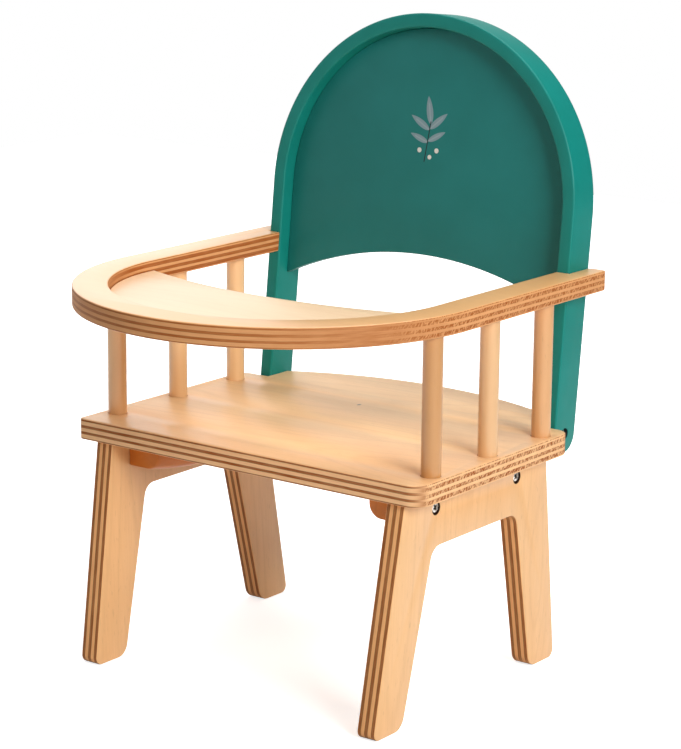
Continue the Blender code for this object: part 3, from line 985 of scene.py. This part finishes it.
def makeLegFrame(sideName, side):
    s = legLook
    corners = [(s["topHalf"], s["top"], s["topRadius"]),
               (s["footOuter"], 0.0, s["footOuterRadius"]),
               (s["footInner"], 0.0, s["footInnerRadius"]),
               (s["archHalf"], s["archHeight"], s["archRadius"])]
    outline = filletOutline(corners + mirrored(corners))[::-1]
    low, high = s["outerFace"] - s["thickness"], s["outerFace"]
    wells = [(fore * s["screwHalfPitch"], s["screwHeight"], *s["screwWell"], True) for fore in (-1, 1)]
    shell = boardShell(outline, low, high, s["ease"], wells)
    grainStart = np.array(s["grainStart"]) + (side * s["sideShift"], 0, 0)
    attributes = boardAttributes(shell, low, high, False, grainStart)
    u, v, w = shell[0].T
    points = np.stack([side * (w - leanShift(v)), u + legMiddleY, v], 1)
    finishBoard(f"{sideName}LegFrame", shell, legPly, f"{sideName}_leg_frame", attributes, points=points)


cleatLook = {
    "width": 0.0166,
    "outer": 0.0745,
    "halfLength": 0.0434,
    "endHeight": 0.0115,
    "middleHeight": 0.0164,
    "round": 0.006,
    "ease": 0.0006,
    "endRows": (0.0, 0.00018, 0.0006),
    "steps": 24,
    "cornerSteps": 6,
    "screwHalfPitch": 0.0145,
    "grainStart": (1.7, 0.2, 0.4),
    "sideShift": 0.3,
    "toneAndLight": (1, 0, 0),
}


def makeCleat(sideName, side):
    # sections from front to rear: the underside follows one shallow circle arc, and each section is a
    # rectangle with a rounded lower inner corner and small rounds on the others, shrunk at the cleat's ends
    s = cleatLook
    half, ends = s["halfLength"], np.array(s["endRows"])
    between = np.linspace(-half, half, s["steps"] + 1)[1:-1]
    stations = np.concatenate([ends - half, between, half - ends[::-1]])
    shrink = np.concatenate([ends[::-1], np.zeros(len(between)), ends])
    drop = s["middleHeight"] - s["endHeight"]
    radius = (half ** 2 + drop ** 2) / (2 * drop)
    high = legLook["top"]
    low = high - (s["middleHeight"] - radius + np.sqrt(radius ** 2 - stations ** 2))
    inner = s["outer"] - s["width"]
    rows = []
    for y, bottom, pull in zip(stations, low, shrink):
        corners = [(inner + pull, high - pull, s["ease"]), (inner + pull, bottom + pull, s["round"]),
                   (s["outer"] - leanShift(bottom) - pull, bottom + pull, s["ease"]),
                   (s["outer"] - pull, high - pull, s["ease"])]
        u, v = filletOutline(corners, s["cornerSteps"]).T
        rows.append(np.stack([side * u, np.full(len(u), y + legMiddleY), v], 1))
    grid = np.array(rows)
    faces, flat = closedTube(*grid.shape[:2])
    points = grid.reshape(-1, 3)
    place = points[:, [1, 0, 2]] + s["grainStart"] + np.array((side * s["sideShift"], 0, 0))
    finishPiece(f"{sideName}Cleat", points, faces, battenWood, f"{sideName}_cleat", flat,
                {"grainPlace": place, "toneAndLight": np.zeros(points.shape) + s["toneAndLight"]})


for sideName, side in (("left", -1), ("right", 1)):
    makeLegFrame(sideName, side)
    makeCleat(sideName, side)

# Spindles

ringLook = {
    "underside": 0.1682,
    "thickness": 0.009,
    "width": 0.0155,
    "bendCentre": -0.0241,
    "earRear": 0.08624,
    "earOuterRadius": 0.0018,
    "earInnerRadius": 0.0025,
    "notchAtUnderside": 0.068141,
    "notchRadius": 0.0004,
    "ease": 0.00065,
    "easeSteps": 5,
    "wallReach": 0.0012,      # points this near to a wall's line, allowing for its eased edges, belong to it
    "earReach": 0.0002,
    "grainStart": (2.31, 1.27, 0.0),
}


def makeSpindle(name, node, x, y, number):
    # a straight dowel: its profile is a circle of one radius whose two ends are chamfered
    s = spindleLook
    low, high = seatTop - s["letIn"], ringLook["underside"] + s["letIn"]
    radius, chamfer = s["radius"], s["chamfer"]
    profile = np.array([(radius - chamfer, low), (radius, low + chamfer), (radius, (low + high) / 2),
                        (radius, high - chamfer), (radius - chamfer, high)])
    points = turnedGrid(profile, circleTurns(s["columns"])).reshape(-1, 3)
    faces, flat = closedTube(len(profile), s["columns"])
    place = points[:, [2, 0, 1]] + number * np.array(s["grainStep"]) + s["grainStart"]
    toneAndLight = np.zeros(points.shape) + s["tonesAndLight"][number - 1]
    finishPiece(name, points + (x, y, 0), faces, dowelWood, node, flat,
                {"grainPlace": place, "toneAndLight": toneAndLight})


number = 0
for sideName, side in (("left", -1), ("right", 1)):
    for row, y in zip(("front", "middle", "rear"), spindleLook["rows"]):
        number += 1
        makeSpindle(f"{sideName}{row.title()}Spindle", f"{sideName}_{row}_spindle",
                    side * spindleLook["side"], y + legMiddleY, number)


# Arm ring and tray plate

def makeRing():
    # a flat U whose two ears run along the outside of the bent strip; the notch walls lean with the strip
    s = ringLook
    outer, inner = hoopInnerHalf + s["width"], hoopInnerHalf
    earInside = hoopInnerHalf + hoopThickness + fitGap
    fore, notch = s["bendCentre"], s["notchAtUnderside"]
    ear = filletOutline([(earInside, fore, 0), (outer, fore, 0), (outer, s["earRear"], s["earOuterRadius"]),
                         (earInside, s["earRear"], s["earInnerRadius"])])[2:]
    step = filletOutline([(earInside, s["earRear"], 0), (earInside, notch, s["notchRadius"]),
                          (inner, notch, s["notchRadius"]), (inner, fore, 0)])[1:-1]
    half = np.concatenate([ear, step])
    outline = np.concatenate([arcPoints((0, fore), outer, 180, 360, bendSteps), half,
                              arcPoints((0, fore), inner, 360, 180, bendSteps), half[::-1] * (-1, 1)])
    outline = outline + (0, legMiddleY)
    low, high = s["underside"], s["underside"] + s["thickness"]
    shell = boardShell(outline, low, high, s["ease"], stickSockets(False), s["easeSteps"])
    points, reach = shell[0].copy(), s["wallReach"]
    side, y = np.abs(points[:, 0]), points[:, 1] - legMiddleY
    # the U's inner wall lies within the inner half width, and its front end inside the inner circle
    inside = np.hypot(side, np.minimum(y - fore, 0)) < inner + reach
    attributes = boardAttributes(shell, low, high, True, s["grainStart"], inside)
    wall = (np.abs(y - notch) < reach) & (side < earInside + s["earReach"]) & (side > inner - reach)
    points[wall, 1] += (points[wall, 2] - low) * math.tan(hoopTilt)
    finishBoard("armRing", shell, ringPly, "arm_ring", attributes, points=points)


trayLook = {
    "bottom": 0.1687,
    "thickness": 0.004,
    "corner": -0.0229,
    "rear": -0.0371,
    "bowSteps": 40,
    "ease": 0.0004,
    "grainStart": (3.11, 0.77, 0.0),
}


def makeTray():
    s = trayLook
    outline = bowedHalfDisc(ringLook["bendCentre"], 180, s["corner"], s["rear"], s["bowSteps"])
    low, high = s["bottom"], s["bottom"] + s["thickness"]
    shell = boardShell(outline + (0, legMiddleY), low, high, s["ease"])
    attributes = boardAttributes(shell, low, high, True, s["grainStart"])
    finishBoard("trayPlate", shell, trayPly, "tray_plate", attributes)


makeRing()
makeTray()

# Backrest

screwLook = {
    "headRadius": 0.0021,
    "offCentre": (0.0002, 0.0003),
    "headHeight": 0.0013,
    "rim": 0.0003,
    "dome": 0.00022,
    "domeDrop": 0.6,          # how far the dome's foot lies below the screw's place, as a share of it
    "shankRadius": 0.0015,
    "length": 0.022,
    "tip": 0.003,
    "tipRadius": 0.0004,
    "crossSpan": 0.0031,
    "crossSlot": 0.0013,
    "crossDepth": 0.0009,
    "crossSlope": 0.00022,
    "hoopDrop": 0.0045,
    "hoopSink": 0.0015,
    "legSink": 0.0006,
    "seatSink": 0.0004,
    "columns": 96,
    "headRows": (0.06, 1, 20),
    "turns": (17, 62, 38, 5, 74, 29, 51, 12, 84, 40),
}
hoopLook = {
    "innerHalf": 0.07675,
    "depth": 0.017,
    "bendHeight": 0.0935,
    "footDrop": 0.0123,
    "endFlat": 0.0004,
    "ease": 0.0009,
    "footEase": 0.8,          # the most that the ease may take of a foot's half depth
    "footRows": 15,
    "bendRows": 129,
    "cornerPoints": 6,
    "screwWell": (0.0026, 0.0016),
    "wellSteps": 64,
}
panelLook = {
    "setback": 0.007,
    "thickness": 0.004,
    "cornerHeight": 0.0495,
    "middleHeight": 0.0668,
    "bowSteps": 40,
    "ease": 0.0005,
}


def leanPlace(x, back, up):
    # the strip's own frame: x across, back through its depth and up along it, turned about the seat's top
    y = hoopFront + legMiddleY + back * math.cos(hoopTilt) + up * math.sin(hoopTilt)
    z = seatTop - back * math.sin(hoopTilt) + up * math.cos(hoopTilt)
    return np.stack([x, y, z], -1)


def hoopScrewPlace(side, sink):
    # halfway through the strip's depth, hoopDrop below the seat's top, and sunk below the strip's outer face
    along = -screwLook["hoopDrop"] / math.cos(hoopTilt)
    y = hoopFront + along * math.sin(hoopTilt) + hoopLook["depth"] / 2 * math.cos(hoopTilt)
    return Vector((side * (hoopInnerHalf + hoopThickness - sink), y + legMiddleY,
                   seatTop - screwLook["hoopDrop"]))


def cutWell(piece, place, radius, depth):
    # a round hole with its axis along X is cut into the piece by a cylinder that is then taken away
    bpy.ops.mesh.primitive_cylinder_add(vertices=hoopLook["wellSteps"], radius=radius, depth=2 * depth,
                                        location=place, rotation=(0, math.pi / 2, 0))
    cutter = bpy.context.object
    modifier = piece.modifiers.new("well", "BOOLEAN")
    modifier.operation = "DIFFERENCE"
    modifier.object = cutter
    bpy.context.view_layer.update()
    mesh = bpy.data.meshes.new_from_object(piece.evaluated_get(bpy.context.evaluated_depsgraph_get()))
    piece.modifiers.clear()
    piece.data = mesh
    mesh.set_sharp_from_angle(angle=math.radians(creaseAngle))
    bpy.data.objects.remove(cutter)
    bm = bmesh.new()
    bm.from_mesh(mesh)
    print(f"{piece.name} cut: {countOpenEdges(bm)} open edges")
    bm.free()


def makeHoop():
    # a rounded rectangle carried up one side, round a half circle and down the other; at its feet the
    # rectangle's depth shrinks as a half circle does. Its inner wall lies a hair inside the panel's edge, as
    # if the two were painted in one
    s = hoopLook
    half = s["depth"] / 2
    halfThickness = (hoopInnerHalf + hoopThickness - s["innerHalf"]) / 2
    middle = s["innerHalf"] + halfThickness
    footRows, bendRows, cornerPoints = s["footRows"], s["bendRows"], s["cornerPoints"]
    a = np.linspace(math.asin(s["endFlat"] / half), np.pi / 2, footRows)
    footUp, footDepth = half * (1 - np.cos(a)) - s["footDrop"], half * np.sin(a)
    bend = np.linspace(np.pi, 0, bendRows)
    up = np.concatenate([footUp, np.full(bendRows, s["bendHeight"]), footUp[::-1]])
    outX = np.concatenate([np.full(footRows, -1.0), np.cos(bend), np.full(footRows, 1.0)])
    outUp = np.concatenate([np.zeros(footRows), np.sin(bend), np.zeros(footRows)])
    depth = np.concatenate([footDepth, np.full(bendRows, half), footDepth[::-1]])
    ease = np.minimum(s["ease"], depth * s["footEase"])[:, None]
    corner = np.repeat([(1, 1), (-1, 1), (-1, -1), (1, -1)], cornerPoints, 0)
    turn = np.concatenate([np.radians(np.linspace(start, start + 90, cornerPoints))
                           for start in (0, 90, 180, 270)])
    across = corner[:, 0] * (halfThickness - ease) + ease * np.cos(turn)
    back = corner[:, 1] * (depth[:, None] - ease) + ease * np.sin(turn)
    x = outX[:, None] * (middle + across)
    high = up[:, None] + outUp[:, None] * (middle + across)
    grid = leanPlace(x, half + back, high)
    faces, flat = closedTube(*grid.shape[:2])
    hoop = finishPiece("backrestHoop", grid.reshape(-1, 3), faces, greenPaint, "backrest_hoop",
                       flat)
    for side in (-1, 1):
        cutWell(hoop, hoopScrewPlace(side, 0.0), *s["screwWell"])


def makePanel():
    s = panelLook
    outline = bowedHalfDisc(hoopLook["bendHeight"], 0, s["cornerHeight"], s["middleHeight"], s["bowSteps"])
    low, high = s["setback"], s["setback"] + s["thickness"]
    shell = boardShell(outline, low, high, s["ease"])
    u, v, w = shell[0].T
    # the print is on the front alone, so the rear's points are placed a metre away from it
    place = np.stack([np.where(w < (low + high) / 2, u, u + 1.0), v, np.zeros(len(u))], 1)
    finishBoard("backrestPanel", shell, printedPaint, "backrest_panel", {"printPlace": place},
                leanPlace(u, w, v))


hoopHoleShade = (hoopScrewPlace(1, 0.0), hoopLook["screwWell"][0])
greenPaint = makePaint("greenPaint", "greenLit", "greenLitDeep", hole=hoopHoleShade)
printedPaint = makePaint("greenPaintPrinted", "greenShaded", "greenShadedDeep", printed=True)
makeHoop()
makePanel()


# Screws

def makeScrew(name, node, place, turnDegrees):
    # the head is a shallow dome, height = dome (1 - (r / R)^2), with a cross pressed into it; below it the
    # profile runs down a cone to the shank and on to the tip
    s = screwLook
    columns, radius = s["columns"], s["headRadius"]
    turn = circleTurns(columns)
    radii = np.linspace(*s["headRows"])[:, None] * radius
    x, y = radii * np.cos(turn), radii * np.sin(turn)
    c, d = math.cos(math.radians(turnDegrees)), math.sin(math.radians(turnDegrees))
    p, q = np.abs(x * c + y * d), np.abs(y * c - x * d)
    armA = np.maximum(p - s["crossSpan"] / 2, q - s["crossSlot"] / 2)
    armB = np.maximum(q - s["crossSpan"] / 2, p - s["crossSlot"] / 2)
    sink = np.clip(-np.minimum(armA, armB) / s["crossSlope"], 0, 1)
    height = s["dome"] * (1 - (radii / radius) ** 2) - sink * s["crossDepth"] - s["dome"] * s["domeDrop"]
    below = np.array([(radius, -s["rim"]), (s["shankRadius"], -s["rim"] - s["headHeight"]),
                      (s["shankRadius"], s["tip"] - s["length"]), (s["tipRadius"], -s["length"])])
    grid = np.concatenate([np.stack([x, y, height], -1), turnedGrid(below, turn)])
    # a fan of triangles closes the head's middle, and one face closes the tip
    centre = len(grid) * columns
    points = np.concatenate([grid.reshape(-1, 3), [(0, 0, height[0].mean())]])
    ring = np.arange(columns)
    faces = gridFaces(len(grid), columns)
    faces += np.stack([np.roll(ring, -1), ring, np.full(columns, centre)], 1).tolist()
    faces.append(list(range(centre - columns, centre)))
    points = points @ np.array(place.to_3x3()).T + np.array(place.translation)
    # the cross and the head's middle point get painted shade
    crossShade = np.zeros((len(points), 3))
    crossShade[:sink.size, 0] = sink.ravel()
    crossShade[centre, 0] = 1
    finishPiece(name, points, faces, screwSteel, node, attributes={"crossShade": crossShade},
                sharpAngle=50)


def placeScrews():
    # on each side two through the leg frame, two up through the cleat, and one through the strip
    s = screwLook
    turns = iter(s["turns"])
    down = Matrix.Rotation(math.pi, 4, "X")
    legX = legLook["outerFace"] - leanShift(legLook["screwHeight"]) - s["legSink"]
    cleatX = cleatLook["outer"] - cleatLook["width"] / 2
    cleatZ = legLook["top"] - cleatLook["middleHeight"] + s["seatSink"]
    for sideName, side in (("left", -1), ("right", 1)):
        outward = Matrix.Rotation(side * math.pi / 2, 4, "Y")
        for row, fore in (("Front", -1), ("Rear", 1)):
            at = (side * legX, fore * legLook["screwHalfPitch"] + legMiddleY + s["offCentre"][0],
                  legLook["screwHeight"] + s["offCentre"][1])
            makeScrew(f"{sideName}{row}LegScrew", f"{sideName}_{row.lower()}_leg_screw",
                      Matrix.Translation(at) @ outward, next(turns))
        for row, fore in (("Front", -1), ("Rear", 1)):
            at = (side * cleatX, fore * cleatLook["screwHalfPitch"] + legMiddleY, cleatZ)
            makeScrew(f"{sideName}{row}SeatScrew", f"{sideName}_{row.lower()}_seat_screw",
                      Matrix.Translation(at) @ down, next(turns))
        at = hoopScrewPlace(side, s["hoopSink"])
        makeScrew(f"{sideName}HoopScrew", f"{sideName}_hoop_screw", Matrix.Translation(at) @ outward,
                  next(turns))


placeScrews()
print("pieces made")

# Floor, light and view

stageLook = {
    "floor": rgb(0.80, 0.80, 0.80),
    "floorHalf": 1.2,
    "floorGlow": (0.74, 1.0),
    "glowReach": (0.16, 0.50),
    "rightRear": (0.59, 0.81, 0.0),
    "darkReach": (0.20, 0.75),
    "darkLevel": 0.08,
    "worldStrength": 0.03,
    "aim": (0, 0, 0.14),
    # name, place, size and power
    "lamps": [
        ("rightSoftbox", (1.42, -0.54, 0.88), (0.7, 0.7), 22.5),
        ("topSoftbox", (0.0, 0.35, 1.6), (1.6, 1.1), 20.0),
        ("leftSoftbox", (-1.40, 0.75, 0.60), (1.3, 1.0), 3.0),
        ("frontSoftbox", (-0.70, -1.35, 0.60), (1.3, 1.0), 1.3),
    ],
}


def seenDirectly(tree, path):
    # 1 for camera, glossy and transmitted rays, which see the room as bright as it looks
    bent = larger(tree, path.outputs["Is Glossy Ray"], path.outputs["Is Transmission Ray"])
    return larger(tree, path.outputs["Is Camera Ray"], bent)


def dimmedRightRear(tree, place, path):
    # 1, but for glossy rays it falls off towards the right rear, where reflections show a dark room
    toRear = vectorNode(tree, "DOT_PRODUCT", place, stageLook["rightRear"])
    dim = mapRange(tree, toRear, *stageLook["darkReach"], 1.0, stageLook["darkLevel"], True)
    return mixNumber(tree, path.outputs["Is Glossy Ray"], 1.0, dim)


def makeFloor():
    # a sheet under the object. Rays that see it directly also see it glow, more so further out, where it is
    # to end white
    mesh = bpy.data.meshes.new("floor")
    half = stageLook["floorHalf"]
    mesh.from_pydata([(-half, -half, 0), (half, -half, 0), (half, half, 0), (-half, half, 0)], [],
                     [(0, 1, 2, 3)])
    material = bpy.data.materials.new("paleFloor")
    material.use_nodes = True
    tree = material.node_tree
    tree.nodes.clear()
    output = addNode(tree, "ShaderNodeOutputMaterial")
    diffuse = addNode(tree, "ShaderNodeBsdfDiffuse")
    feed(tree, stageLook["floor"], diffuse, "Color")
    glow = addNode(tree, "ShaderNodeEmission")
    feed(tree, rgb(1, 1, 1), glow, "Color")
    path = addNode(tree, "ShaderNodeLightPath")
    place = readPlace(tree)
    away = vectorNode(tree, "LENGTH", place)
    level = mapRange(tree, away, *stageLook["glowReach"], *stageLook["floorGlow"], True)
    level = times(tree, level, dimmedRightRear(tree, place, path))
    feed(tree, times(tree, seenDirectly(tree, path), level), glow, "Strength")
    both = addNode(tree, "ShaderNodeAddShader")
    feed(tree, diffuse.outputs[0], both, 0)
    feed(tree, glow.outputs[0], both, 1)
    feed(tree, both.outputs[0], output, 0)
    mesh.materials.append(material)
    floor = bpy.data.objects.new("floor", mesh)
    bpy.context.scene.collection.objects.link(floor)


def makeWorld():
    world = bpy.data.worlds.new("paleRoom")
    bpy.context.scene.world = world
    world.use_nodes = True
    tree = world.node_tree
    background = tree.nodes["Background"]
    feed(tree, rgb(1, 1, 1), background, "Color")
    path = addNode(tree, "ShaderNodeLightPath")
    level = mapRange(tree, seenDirectly(tree, path), 0.0, 1.0, stageLook["worldStrength"], 1.0)
    level = times(tree, level, dimmedRightRear(tree, readPlace(tree, "Generated"), path))
    feed(tree, level, background, "Strength")


def makeLamps():
    for name, place, size, power in stageLook["lamps"]:
        data = bpy.data.lights.new(name, "AREA")
        data.shape = "RECTANGLE"
        data.size, data.size_y = size
        data.energy = power
        lamp = bpy.data.objects.new(name, data)
        lamp.location = place
        towards = Vector(stageLook["aim"]) - Vector(place)
        lamp.rotation_euler = towards.to_track_quat("-Z", "Y").to_euler()
        bpy.context.scene.collection.objects.link(lamp)


makeFloor()
makeWorld()
makeLamps()
bpy.context.scene.view_settings.view_transform = "Standard"
print("stage made")
